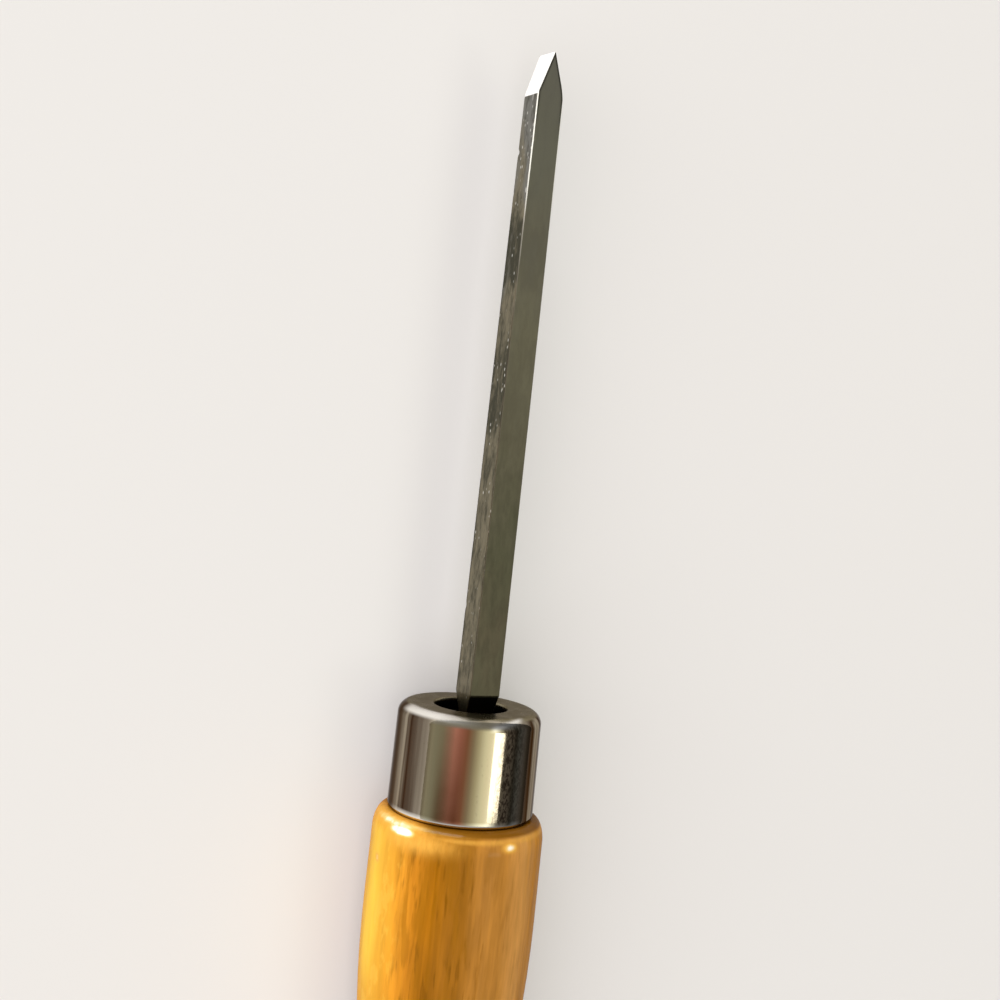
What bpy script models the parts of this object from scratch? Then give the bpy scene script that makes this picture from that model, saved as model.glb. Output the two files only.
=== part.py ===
"""Woodturning chisel: a square steel blade, a plated cup ferrule and a turned wooden handle.

Metres, +Z up. The tool lies along X on the two swells of its handle, with the cutting edge
towards +X. The origin is under the middle of its length, on the surface that it lies on.
Every station along the tool is measured from the ferrule's front face, forwards positive.
"""

import math

import bmesh
import bpy
from mathutils import Matrix, Vector

MM = 0.001

# Meshing: points this close are one point, and faces that meet more sharply keep their edge
SAME_POINT = 0.001 * MM
SHARP_EDGE = math.radians(28)

# Space kept between pieces that the real tool presses or drives together
GAP = 0.3 * MM

# Blade: a square bar that narrows a little towards two bevels which meet in the cutting edge
BLADE_REACH = 121.2 * MM
BLADE_SIDE_AT_FERRULE = 6.2 * MM
BLADE_SIDE_AT_BEVEL = 5.35 * MM
BEVEL_LENGTH = 7.96 * MM
ARRIS_CHAMFER = 0.15 * MM

# The hand-ground cutting edge stands a little askew: its lower end is this far towards +Y
EDGE_SKEW = 0.4 * MM

# The bar stands a little off the ferrule's axis and leans a little further along its length
BLADE_OFF_AXIS = Vector((0.0, -0.98, 0.29)) * MM
BLADE_LEAN = Vector((0.0, -0.0036, 0.0018))

# Tang: drawn down on its upper and lower faces, starting just in front of the ferrule
TANG_START = 2.5 * MM
TANG_NECK = -1.8 * MM
TANG_NECK_WIDTH = 5.6 * MM
TANG_NECK_THICKNESS = 3.0 * MM
TANG_END = -60.0 * MM
TANG_END_WIDTH = 3.2 * MM
TANG_END_THICKNESS = 2.4 * MM

# Ferrule: a drawn cup with a round hole in its front
FERRULE_LENGTH = 20.0 * MM
FERRULE_FRONT_RADIUS = 13.5 * MM
FERRULE_REAR_RADIUS = 13.72 * MM
FERRULE_WALL = 1.1 * MM
FERRULE_FRONT_ROUND = 2.3 * MM
FERRULE_REAR_ROUND = 0.45 * MM
FERRULE_HOLE_RADIUS = 6.87 * MM
FERRULE_HOLE_ROUND = 0.4 * MM
FERRULE_SIDES = 48

# Handle: a spigot inside the ferrule, then a swell, a waist, a second swell and a domed butt
SPIGOT_FRONT = -4.5 * MM
SPIGOT_CHAMFER = 1.0 * MM
SHOULDER_FRONT_RADIUS = 13.95 * MM
SHOULDER_RADIUS = 16.15 * MM
SHOULDER_LENGTH = 4.2 * MM
SWELL_RADIUS = 16.3 * MM
FRONT_SWELL = -40.0 * MM
WAIST = -100.0 * MM
WAIST_RADIUS = 12.6 * MM
REAR_SWELL = -178.0 * MM
HANDLE_END = -235.0 * MM
BUTT_FULLNESS = 2.8
HANDLE_SIDES = 24

# The handle's lowest flats carry the tool, so its axis stands one swell radius up
AXIS_HEIGHT = SWELL_RADIUS
FERRULE_FACE_X = -(BLADE_REACH + HANDLE_END) / 2


def clear_scene():
    """Take every object out of the scene."""
    for old in list(bpy.data.objects):
        bpy.data.objects.remove(old, do_unlink=True)


def make_material(name, colour, metallic, roughness):
    """A Principled material with one colour and one roughness."""
    material = bpy.data.materials.new(name)
    material.use_nodes = True
    shader = material.node_tree.nodes["Principled BSDF"]
    shader.inputs["Base Color"].default_value = (*colour, 1.0)
    shader.inputs["Metallic"].default_value = metallic
    shader.inputs["Roughness"].default_value = roughness
    return material


def add_piece(name, bm, parent, material=None):
    """Turn a bmesh into a named object on the tool's axis, smooth apart from its real edges."""
    bmesh.ops.recalc_face_normals(bm, faces=bm.faces)
    mesh = bpy.data.meshes.new(name)
    bm.to_mesh(mesh)
    bm.free()
    mesh.shade_smooth()
    mesh.set_sharp_from_angle(angle=SHARP_EDGE)
    piece = bpy.data.objects.new(name, mesh)
    bpy.context.scene.collection.objects.link(piece)
    piece.parent = parent
    if material:
        mesh.materials.append(material)
    return piece


def as_cutter(piece):
    """Keep a shape as a cutting tool only."""
    piece.hide_render = True
    piece.display_type = "WIRE"
    return piece


def cut_from(piece, cutter):
    """Take the cutter's shape out of the piece."""
    difference = piece.modifiers.new("tang_socket", "BOOLEAN")
    difference.operation = "DIFFERENCE"
    difference.solver = "EXACT"
    difference.object = cutter


def arc(centre, half_axes, start_degrees, end_degrees, steps):
    """Points (station, radius) along part of an ellipse, both ends included."""
    turn = end_degrees - start_degrees
    angles = [math.radians(start_degrees + turn * step / steps) for step in range(steps + 1)]
    return [
        (centre[0] + half_axes[0] * math.cos(angle), centre[1] + half_axes[1] * math.sin(angle))
        for angle in angles
    ]


def ease(start, end, steps):
    """Points from start up to, but not including, end on half a cosine wave, level at both."""
    points = []
    for step in range(steps):
        share = step / steps
        rise = (1 - math.cos(math.pi * share)) / 2
        points.append((start[0] + (end[0] - start[0]) * share, start[1] + (end[1] - start[1]) * rise))
    return points


def turned(profile, sides, closed):
    """Spin a profile of (station, radius) points round X. Each flat touches the turned radius."""
    bm = bmesh.new()
    to_corner = 1 / math.cos(math.pi / sides)
    verts = [bm.verts.new((station, 0.0, radius * to_corner)) for station, radius in profile]
    pairs = list(zip(verts, verts[1:]))
    if closed:
        pairs.append((verts[-1], verts[0]))
    edges = [bm.edges.new(pair) for pair in pairs]
    bmesh.ops.spin(
        bm,
        geom=verts + edges,
        axis=(1, 0, 0),
        cent=(0, 0, 0),
        angle=2 * math.pi,
        steps=sides,
        use_merge=True,
    )
    bmesh.ops.remove_doubles(bm, verts=bm.verts, dist=SAME_POINT)
    bmesh.ops.rotate(bm, verts=bm.verts, matrix=Matrix.Rotation(math.pi / sides, 3, "X"))
    return bm


def square_bar(stations):
    """Join rectangles along X into a closed bar. A station is (x, centre, width in Y, height in Z)."""
    corners = [(-1, -1), (1, -1), (1, 1), (-1, 1)]
    bm = bmesh.new()
    rings = []
    for x, centre, width, height in stations:
        verts = [
            bm.verts.new((x, centre.y + side * width / 2, centre.z + rise * height / 2))
            for side, rise in corners
        ]
        rings.append([bm.edges.new((verts[i], verts[(i + 1) % 4])) for i in range(4)])
    for front, back in zip(rings, rings[1:]):
        bmesh.ops.bridge_loops(bm, edges=front + back)
    for end in (rings[0], rings[-1]):
        bmesh.ops.contextual_create(bm, geom=end)
    return bm


def bar_centre(x):
    """Centre of the blade's section at a station."""
    return BLADE_OFF_AXIS + BLADE_LEAN * x


def bar_side(x):
    """Side of the blade's square section at a station."""
    share = x / (BLADE_REACH - BEVEL_LENGTH)
    return BLADE_SIDE_AT_FERRULE + (BLADE_SIDE_AT_BEVEL - BLADE_SIDE_AT_FERRULE) * share


def tang_stations(grow, end):
    """The tang's two rectangles, from its end to its neck, larger by grow on every side."""
    return [
        (end, bar_centre(end), TANG_END_WIDTH + 2 * grow, TANG_END_THICKNESS + 2 * grow),
        (TANG_NECK, bar_centre(TANG_NECK), TANG_NECK_WIDTH + 2 * grow, TANG_NECK_THICKNESS + 2 * grow),
    ]


def grind_bevel(bm, side):
    """Cut one bevel: a plane from the blade's face on that side of Y to the cutting edge."""
    bevel_start = BLADE_REACH - BEVEL_LENGTH
    heel = bar_centre(bevel_start) + Vector((bevel_start, side * bar_side(bevel_start) / 2, 0))
    edge = bar_centre(BLADE_REACH) + Vector((BLADE_REACH, 0, 0))
    slope = edge - heel
    normal = Vector((-side * slope.y, side * slope.x, 0)).normalized()
    everything = bm.verts[:] + bm.edges[:] + bm.faces[:]
    cut = bmesh.ops.bisect_plane(bm, geom=everything, plane_co=heel, plane_no=normal, clear_outer=True)
    rim = [item for item in cut["geom_cut"] if isinstance(item, bmesh.types.BMEdge)]
    bmesh.ops.contextual_create(bm, geom=rim)


def skew_cutting_edge(bm):
    """Move the lower end of the cutting edge sideways."""
    centre = bar_centre(BLADE_REACH)
    almost_there = BLADE_REACH - ARRIS_CHAMFER
    for vert in bm.verts:
        if vert.co.x > almost_there and vert.co.z < centre.z:
            vert.co.y += EDGE_SKEW


def make_blade(parent):
    """Bar and tang in one piece, with chamfered arrises and the two bevels ground last."""
    uncut_end = BLADE_REACH + BEVEL_LENGTH
    stations = tang_stations(grow=0.0, end=TANG_END)
    for x in (TANG_START, uncut_end):
        stations.append((x, bar_centre(x), bar_side(x), bar_side(x)))
    bm = square_bar(stations)
    arrises = [edge for edge in bm.edges if edge.verts[0].co.x != edge.verts[1].co.x]
    bmesh.ops.bevel(bm, geom=arrises, offset=ARRIS_CHAMFER, segments=1, affect="EDGES")
    for side in (1, -1):
        grind_bevel(bm, side)
    skew_cutting_edge(bm)
    steel = make_material("tool_steel", (0.30, 0.29, 0.25), metallic=1.0, roughness=0.38)
    return add_piece("blade", bm, parent, steel)


def make_ferrule(parent):
    """Drawn cup: rounded front edge, slightly flared wall, rounded rear lip and front hole."""
    rear = -FERRULE_LENGTH
    inner_front = FERRULE_FRONT_RADIUS - FERRULE_WALL
    inner_rear = FERRULE_REAR_RADIUS - FERRULE_WALL
    inner_round = FERRULE_FRONT_ROUND - FERRULE_WALL
    front_corner = (-FERRULE_FRONT_ROUND, FERRULE_FRONT_RADIUS - FERRULE_FRONT_ROUND)
    rear_corner = (rear + FERRULE_REAR_ROUND, FERRULE_REAR_RADIUS - FERRULE_REAR_ROUND)
    hole_corner = (-FERRULE_HOLE_ROUND, FERRULE_HOLE_RADIUS + FERRULE_HOLE_ROUND)
    profile = arc(hole_corner, (FERRULE_HOLE_ROUND,) * 2, -90, 0, steps=3)
    profile += arc(front_corner, (FERRULE_FRONT_ROUND,) * 2, 0, 90, steps=6)
    profile += arc(rear_corner, (FERRULE_REAR_ROUND,) * 2, 90, 180, steps=3)
    profile += [(rear, inner_rear)]
    profile += arc((-FERRULE_FRONT_ROUND, inner_front - inner_round), (inner_round,) * 2, 90, 0, steps=4)
    profile += [(-FERRULE_WALL, FERRULE_HOLE_RADIUS)]
    nickel = make_material("nickel_plate", (0.66, 0.62, 0.54), metallic=1.0, roughness=0.10)
    return add_piece("ferrule", turned(profile, FERRULE_SIDES, closed=True), parent, nickel)


def handle_profile():
    """Outline of the handle from the spigot's front centre back to the butt's centre."""
    shoulder = -FERRULE_LENGTH - GAP
    inner_flat = FERRULE_FRONT_RADIUS - FERRULE_WALL
    spigot = (inner_flat - GAP) * math.cos(math.pi / HANDLE_SIDES)
    shoulder_back = shoulder - SHOULDER_LENGTH
    rounding = SHOULDER_RADIUS - SHOULDER_FRONT_RADIUS
    profile = [
        (SPIGOT_FRONT, 0.0),
        (SPIGOT_FRONT, spigot - SPIGOT_CHAMFER),
        (SPIGOT_FRONT - SPIGOT_CHAMFER, spigot),
        (shoulder, spigot),
    ]
    profile += arc((shoulder_back, SHOULDER_FRONT_RADIUS), (SHOULDER_LENGTH, rounding), 0, 90, steps=6)[:-1]
    profile += ease((shoulder_back, SHOULDER_RADIUS), (FRONT_SWELL, SWELL_RADIUS), steps=4)
    profile += ease((FRONT_SWELL, SWELL_RADIUS), (WAIST, WAIST_RADIUS), steps=12)
    profile += ease((WAIST, WAIST_RADIUS), (REAR_SWELL, SWELL_RADIUS), steps=14)
    return profile + butt_profile(steps=14)


def butt_profile(steps):
    """Domed butt: radius times the square root of one less the share of its length to a power."""
    points = []
    for step in range(steps + 1):
        share = math.sin(math.pi / 2 * step / steps)
        radius = SWELL_RADIUS * math.sqrt(max(0.0, 1 - share**BUTT_FULLNESS))
        points.append((REAR_SWELL + (HANDLE_END - REAR_SWELL) * share, radius))
    return points


def make_handle(parent):
    """Turned handle with a socket for the tang, cut square and tapered as the driven tang leaves it."""
    wood = make_material("varnished_wood", (0.62, 0.32, 0.07), metallic=0.0, roughness=0.22)
    handle = add_piece("handle", turned(handle_profile(), HANDLE_SIDES, closed=False), parent, wood)
    socket = square_bar(tang_stations(grow=GAP, end=TANG_END - GAP))
    cut_from(handle, as_cutter(add_piece("tang_socket_cutter", socket, parent)))
    return handle


def make_chisel():
    """Build the pieces round an empty at the centre of the ferrule's front face."""
    clear_scene()
    axis = bpy.data.objects.new("tool_axis", None)
    axis.location = (FERRULE_FACE_X, 0.0, AXIS_HEIGHT)
    bpy.context.scene.collection.objects.link(axis)
    make_blade(axis)
    make_ferrule(axis)
    make_handle(axis)


make_chisel()
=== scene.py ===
"""Looks of a slim woodturning chisel that lies on a pale table under soft studio light.

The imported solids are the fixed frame. Three fine pieces stand for its three plain solids: the
square steel blade with its two ground bevels, the plated cup ferrule and the varnished handle.
Stations along the tool are measured from the ferrule's front face, forwards positive. Sizes are
in millimetres until a piece is placed in the frame, which is in metres. Angles about the tool's
axis are in degrees from straight up towards +Y, which is on the left in the main view.
"""
import logging
import math
from dataclasses import dataclass
from enum import Enum
from typing import Union

import bmesh
import bpy
import numpy as np
from mathutils import Matrix, Vector


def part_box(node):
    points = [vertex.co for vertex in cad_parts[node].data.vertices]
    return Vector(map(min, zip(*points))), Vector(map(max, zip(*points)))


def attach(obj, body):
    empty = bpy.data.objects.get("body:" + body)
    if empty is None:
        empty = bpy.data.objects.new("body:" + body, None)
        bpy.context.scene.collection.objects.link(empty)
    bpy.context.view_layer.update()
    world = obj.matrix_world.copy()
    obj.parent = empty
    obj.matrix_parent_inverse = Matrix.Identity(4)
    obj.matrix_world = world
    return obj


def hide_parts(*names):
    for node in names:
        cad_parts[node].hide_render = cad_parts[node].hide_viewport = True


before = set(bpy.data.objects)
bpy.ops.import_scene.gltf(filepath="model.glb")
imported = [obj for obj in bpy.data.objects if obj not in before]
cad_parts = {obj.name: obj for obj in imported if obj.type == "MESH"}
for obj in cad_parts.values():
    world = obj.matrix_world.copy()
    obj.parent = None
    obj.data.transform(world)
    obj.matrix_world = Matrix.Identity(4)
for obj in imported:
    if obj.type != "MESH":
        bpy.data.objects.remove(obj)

LOG = logging.getLogger("chisel")
MM = 0.001
BODY = "root"
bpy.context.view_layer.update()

Array = np.ndarray
Socket = bpy.types.NodeSocket
Pair = tuple[float, float]
Triple = tuple[float, float, float]
Colour = Triple
Feed = Union[Socket, float, Colour]
# The stops of a ramp: place and value of each.
Shares = tuple[Pair, ...]
Colours = tuple[tuple[float, Colour], ...]
Stops = Union[Shares, Colours]
# Where something starts, is full on both sides, and ends.
Hump = tuple[float, float, float, float]
# Values between which most of a noise lies.
NOISE_SPAN: Pair = (0.3, 0.7)


class Solid(Enum):
    """Solids of the frame that the dressed pieces stand for."""

    BLADE = "blade"
    FERRULE = "ferrule"
    HANDLE = "handle"


class Slot(Enum):
    """Material slots of the record, which the pieces here do not use: each piece makes its own finish."""

    STEEL = "tool_steel"
    NICKEL = "nickel_plate"
    WOOD = "varnished_wood"


class Mark(Enum):
    """Point attributes that tell a finish which part of a piece it is on.

    The scale mark is near-black forge scale on the tang, which also stands in for the shade at its facet by
    the ferrule, and painted shade along edges of the bar.
    The inside mark is what lies hidden in the joint, painted dark as shade, and painted shade on the wood
    beside the joint.
    The rubbed mark is painted highlight: metal painted bright, and varnish painted pale.
    """

    FLANK = "flank"
    BEVEL = "bevel"
    ARRIS = "arris"
    SCALE_AND_SHADE = "scale"
    INSIDE_SHADE = "inside"
    FRONT = "front"
    PAINTED_HIGHLIGHT = "rubbed"


class Ends(Enum):
    """How a stack of rings closes: each end drawn to a point or line, or last ring to first."""

    DRAWN = "drawn"
    LOOP = "loop"


@dataclass(frozen=True)
class ToolAxis:
    """Where the tool's axis lies in the frame.

    Attributes:
        face_x: place of the ferrule's front face along X, in metres.
        height: height of the axis above the table, in metres.
    """

    face_x: float
    height: float

    @classmethod
    def from_frame(cls) -> "ToolAxis":
        """Read the axis from the ferrule's box, which is round about it."""
        low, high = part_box(Solid.FERRULE.value)
        return cls(face_x=high.x, height=(low.z + high.z) / 2)

    @property
    def centre(self) -> Vector:
        """Centre of the ferrule's front face, in metres."""
        return Vector((self.face_x, 0.0, self.height))

    def station(self, x: float) -> float:
        """Station in millimetres of a place along X in metres."""
        return (x - self.face_x) / MM

    def place(self, points: Array) -> Array:
        """Move points from millimetres about the axis into the frame."""
        return points * MM + np.array(self.centre)


def placed(name: str, data: bpy.types.ID) -> bpy.types.Object:
    """Put a new object that holds this data into the scene, at the origin.

    Args:
        name: the object's name.
        data: its mesh, lamp or camera.

    Returns:
        The new object.
    """
    thing = bpy.data.objects.new(name, data)
    bpy.context.scene.collection.objects.link(thing)
    return thing


@dataclass
class RingStack:
    """A surface P(i, j) made of rings: i runs along the piece, j once round it.

    Attributes:
        name: name of the piece.
        points: array (rings, points round, 3) in the frame, in metres.
        ends: how the stack closes.
        marks: value of each mark at every point, as arrays (rings, points round).
        sharp: faces that meet more sharply than this keep their edge, in degrees.
    """

    name: str
    points: Array
    ends: Ends
    marks: dict[Mark, Array]
    sharp: float = 30.0

    same_point = 0.002 * MM

    def quads(self) -> Array:
        """Join each ring to the next: corners (i, j), (i, j+1), (i+1, j+1), (i+1, j).

        Returns:
            Array (faces, 4) of point numbers.
        """
        rings, around = self.points.shape[:2]
        number = np.arange(rings * around).reshape(rings, around)
        if self.ends is Ends.LOOP:
            number = np.vstack([number, number[:1]])
        here, ahead = number[:-1], number[1:]
        corners = [here, np.roll(here, -1, axis=1), np.roll(ahead, -1, axis=1), ahead]
        return np.stack(corners, axis=-1).reshape(-1, 4)

    def piece(self) -> bpy.types.Object:
        """Make the closed mesh, with coinciding points merged and faces pointing outwards.

        Returns:
            The new object, at the origin, in the scene.
        """
        mesh = bpy.data.meshes.new(self.name)
        mesh.from_pydata(self.points.reshape(-1, 3), [], self.quads())
        for mark, values in self.marks.items():
            layer = mesh.attributes.new(mark.value, "FLOAT", "POINT")
            layer.data.foreach_set("value", values.astype(np.float32).ravel())
        work = bmesh.new()
        work.from_mesh(mesh)
        bmesh.ops.remove_doubles(work, verts=work.verts, dist=self.same_point)
        bmesh.ops.recalc_face_normals(work, faces=work.faces)
        work.to_mesh(mesh)
        work.free()
        mesh.shade_smooth()
        mesh.set_sharp_from_angle(angle=math.radians(self.sharp))
        return placed(self.name, mesh)


def line(start: Pair, end: Pair, steps: int) -> Array:
    """Straight stretch of stations and radii, the end left out: start + (end - start) * share."""
    return np.linspace(start, end, steps, endpoint=False)


def arc(centre: Pair, half_axes: Pair, turn: Pair, steps: int) -> Array:
    """Elliptical stretch: centre + half_axes * (cos, sin) over a turn in degrees, its end left out."""
    angle = np.radians(np.linspace(*turn, steps, endpoint=False))
    return np.array(centre) + np.array(half_axes) * np.stack([np.cos(angle), np.sin(angle)], axis=1)


def ease(start: Pair, end: Pair, steps: int) -> Array:
    """Stretch that leaves and arrives level: radius rises by (1 - cos(pi * share)) / 2.

    Args:
        start: station and radius of the first point.
        end: station and radius that the stretch runs to.
        steps: number of points, the end left out.

    Returns:
        Array (steps, 2).
    """
    share = np.linspace(0.0, 1.0, steps, endpoint=False)
    rise = (1 - np.cos(np.pi * share)) / 2
    station = start[0] + (end[0] - start[0]) * share
    return np.stack([station, start[1] + (end[1] - start[1]) * rise], axis=1)


def smooth(value: Array, start: float, end: float) -> Array:
    """Smooth step from 0 at start to 1 at end: share ** 2 * (3 - 2 * share)."""
    share = np.clip((value - start) / (end - start), 0.0, 1.0)
    return share**2 * (3 - 2 * share)


def hump(value: Array, start: float, full: float, last: float, end: float) -> Array:
    """Product of two smooth steps: 0 before start, 1 from full to last, 0 past end."""
    return smooth(value, start, full) * smooth(value, end, last)


def turned(profile: Array, around: int) -> Array:
    """Turn a profile round X: (station, radius * sin(angle), radius * cos(angle)).

    Args:
        profile: array (points, 2) of station and radius.
        around: points round each ring.

    Returns:
        Array (points, around, 3) in millimetres about the axis.
    """
    angle = np.linspace(0.0, 2 * np.pi, around, endpoint=False)
    station = np.repeat(profile[:, :1], around, axis=1)
    radius = profile[:, 1:]
    return np.stack([station, radius * np.sin(angle), radius * np.cos(angle)], axis=-1)


def roll_angle(points: Array) -> Array:
    """Angle of points about the axis, in degrees."""
    return np.degrees(np.arctan2(points[..., 1], points[..., 2]))


def turn_share(angle: float) -> float:
    """Share of a turn, counted from straight down, of an angle in degrees."""
    return (angle + 180) / 360


def by_turn(stops: Stops) -> Stops:
    """Stops whose places are shares of a turn, from stops placed by angles in degrees."""
    return tuple((turn_share(angle), value) for angle, value in stops)


class NodeGraph:
    """A node tree, with short methods for the nodes that the finishes and the room use."""

    def __init__(self, tree: bpy.types.NodeTree) -> None:
        """Work on this tree."""
        self.tree = tree

    def feed(self, socket: Socket, value: Feed) -> None:
        """Link a socket to an output, or set its own value.

        Args:
            socket: the input to feed.
            value: an output socket, a number or a colour.
        """
        if isinstance(value, Socket):
            self.tree.links.new(value, socket)
        elif isinstance(value, tuple) and socket.type == "RGBA":
            socket.default_value = (*value, 1.0)
        else:
            socket.default_value = value

    def add(self, kind: str, inputs: dict, **settings) -> bpy.types.Node:
        """Add a node.

        Args:
            kind: the node's type name without its ShaderNode prefix.
            inputs: what feeds its inputs, by name or number.
            settings: values of the node's own properties.

        Returns:
            The new node.
        """
        node = self.tree.nodes.new("ShaderNode" + kind)
        for key, value in settings.items():
            setattr(node, key, value)
        for key, value in inputs.items():
            self.feed(node.inputs[key], value)
        return node

    def split(self, coordinates: str) -> tuple[Socket, Socket, Socket]:
        """X, Y and Z of one of the texture coordinates."""
        where = self.add("TexCoord", {}).outputs[coordinates]
        return tuple(self.add("SeparateXYZ", {0: where}).outputs)

    def roll(self, y: Socket, z: Socket) -> Socket:
        """Angle about the X axis as a share of a turn: 0.5 straight up, 0.75 towards +Y."""
        angle = self.add("Math", {0: y, 1: z}, operation="ARCTAN2").outputs[0]
        return self.way(angle, -math.pi, math.pi)

    def way(self, value: Socket, start: float, end: float) -> Socket:
        """Share of the way from start to end that a value has gone, from 0 to 1."""
        return self.add("MapRange", {"Value": value, 1: start, 2: end}).outputs[0]

    def sum(self, first: Feed, second: Feed) -> Socket:
        """First plus second."""
        return self.add("Math", {0: first, 1: second}, operation="ADD").outputs[0]

    def times(self, first: Feed, second: Feed) -> Socket:
        """First times second."""
        return self.add("Math", {0: first, 1: second}, operation="MULTIPLY").outputs[0]

    def fit(self, value: Socket, start: float, end: float, low: float = 0.0, high: float = 1.0) -> Socket:
        """Ease a value from low at start to high at end, and hold it outside them."""
        inputs = {"Value": value, 1: start, 2: end, 3: low, 4: high}
        return self.add("MapRange", inputs, interpolation_type="SMOOTHSTEP").outputs[0]

    def hump(self, value: Socket, start: float, full: float, last: float, end: float) -> Socket:
        """Product of two eased steps: 0 before start, 1 from full to last, 0 past end."""
        return self.times(self.fit(value, start, full), self.fit(value, last, end, 1.0, 0.0))

    def ramp(self, value: Socket, stops: Colours) -> Socket:
        """Colour that runs through the stops as the value goes from 0 to 1.

        Args:
            value: the place on the ramp.
            stops: the ramp's stops, in order, 32 at most.

        Returns:
            The colour.
        """
        node = self.add("ValToRGB", {"Fac": value})
        elements = node.color_ramp.elements
        while len(elements) < len(stops):
            elements.new(1.0)
        for element, (place, colour) in zip(elements, stops):
            element.position = place
            element.color = (*colour, 1.0)
        return node.outputs["Color"]

    def shares(self, value: Socket, stops: Shares) -> Socket:
        """Share that runs through the stops as the value goes from 0 to 1."""
        return self.ramp(value, tuple((place, (share, share, share)) for place, share in stops))

    def mix(self, share: Feed, first: Feed, second: Feed, blend: str = "MIX") -> Socket:
        """Blend two colours.

        Args:
            share: how much of the second colour, from 0 to 1.
            first: colour at a share of 0.
            second: colour that is blended over it.
            blend: Blender's name of the way of blending.

        Returns:
            The blended colour.
        """
        node = self.add("Mix", {0: share}, data_type="RGBA", blend_type=blend)
        self.feed(node.inputs[6], first)
        self.feed(node.inputs[7], second)
        return node.outputs[2]


@dataclass(frozen=True)
class Patches:
    """Noise that is eased between two of its values.

    Attributes:
        along: size of its patches along X, in millimetres.
        across: their size across X, in millimetres.
        span: the two values of the noise.
        to: what it becomes at these values and beyond them.
        detail: number of finer layers in the noise.
        rough: strength of each finer layer.
    """

    along: float
    across: float
    span: Pair
    to: Pair = (0.0, 1.0)
    detail: float = 2.0
    rough: float = 0.5


@dataclass(frozen=True)
class Specks:
    """Scattered specks.

    Attributes:
        along: their distance from each other along X, in millimetres.
        across: their distance across X, in millimetres.
        seed: shift that makes one scatter differ from another.
        core: how far from its middle a speck is full, in units of that distance.
        rim: how far from its middle it ends.
    """

    along: float
    across: float
    seed: float
    core: float
    rim: float


class FinishGraph(NodeGraph):
    """A new material's node tree, with the patterns that the finishes are made of."""

    def __init__(self, name: str) -> None:
        """Start a material that holds one Principled shader.

        Args:
            name: the material's name.
        """
        self.material = bpy.data.materials.new(name)
        self.material.use_nodes = True
        super().__init__(self.material.node_tree)
        self.shader = self.tree.nodes["Principled BSDF"]

    def surface(self, **inputs: Feed) -> None:
        """Feed the shader's sockets; an underscore in a name stands for a space."""
        for key, value in inputs.items():
            self.feed(self.shader.inputs[key.replace("_", " ")], value)

    def span(self, along: float, across: float) -> Socket:
        """Object coordinates in units of millimetres.

        Args:
            along: millimetres to a unit along X.
            across: millimetres to a unit along Y and Z.

        Returns:
            The scaled coordinates.
        """
        where = self.add("TexCoord", {}).outputs["Object"]
        scale = (1 / (along * MM), 1 / (across * MM), 1 / (across * MM))
        return self.add("Mapping", {"Vector": where, "Scale": scale}).outputs["Vector"]

    def along(self, start: float, end: float) -> Socket:
        """Share of the way along X between two places in metres, from 0 to 1."""
        return self.way(self.split("Object")[0], start, end)

    def about(self, height: float) -> Socket:
        """Angle about the tool's axis at this height, as a share of a turn."""
        _, y, z = self.split("Object")
        return self.roll(y, self.sum(z, -height))

    def mark(self, mark: Mark) -> Socket:
        """Value of one of the piece's marks."""
        return self.add("Attribute", {}, attribute_name=mark.value).outputs["Fac"]

    def noise(self, along: float, across: float, detail: float = 2.0, rough: float = 0.5) -> Socket:
        """Noise whose patches measure about these millimetres along X and across it."""
        inputs = {"Vector": self.span(along, across), "Scale": 1.0, "Detail": detail, "Roughness": rough}
        return self.add("TexNoise", inputs).outputs["Fac"]

    def patches(self, kind: Patches) -> Socket:
        """Lay patches of this kind."""
        noise = self.noise(kind.along, kind.across, kind.detail, kind.rough)
        return self.fit(noise, *kind.span, *kind.to)

    def specks(self, kind: Specks) -> Socket:
        """Scatter specks of this kind.

        Args:
            kind: the specks.

        Returns:
            A share that is 1 at the core of each speck and 0 past its rim.
        """
        where = {0: self.span(kind.along, kind.across), 1: (kind.seed, kind.seed, kind.seed)}
        shifted = self.add("VectorMath", where).outputs[0]
        away = self.add("TexVoronoi", {"Vector": shifted, "Scale": 1.0}).outputs["Distance"]
        return self.fit(away, kind.core, kind.rim, 1.0, 0.0)

    def bump(self, height: Socket, depth: float, strength: float = 1.0) -> Socket:
        """Normal of a relief whose height from 0 to 1 spans this depth in millimetres."""
        inputs = {"Height": height, "Distance": depth * MM, "Strength": strength}
        return self.add("Bump", inputs).outputs["Normal"]


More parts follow.
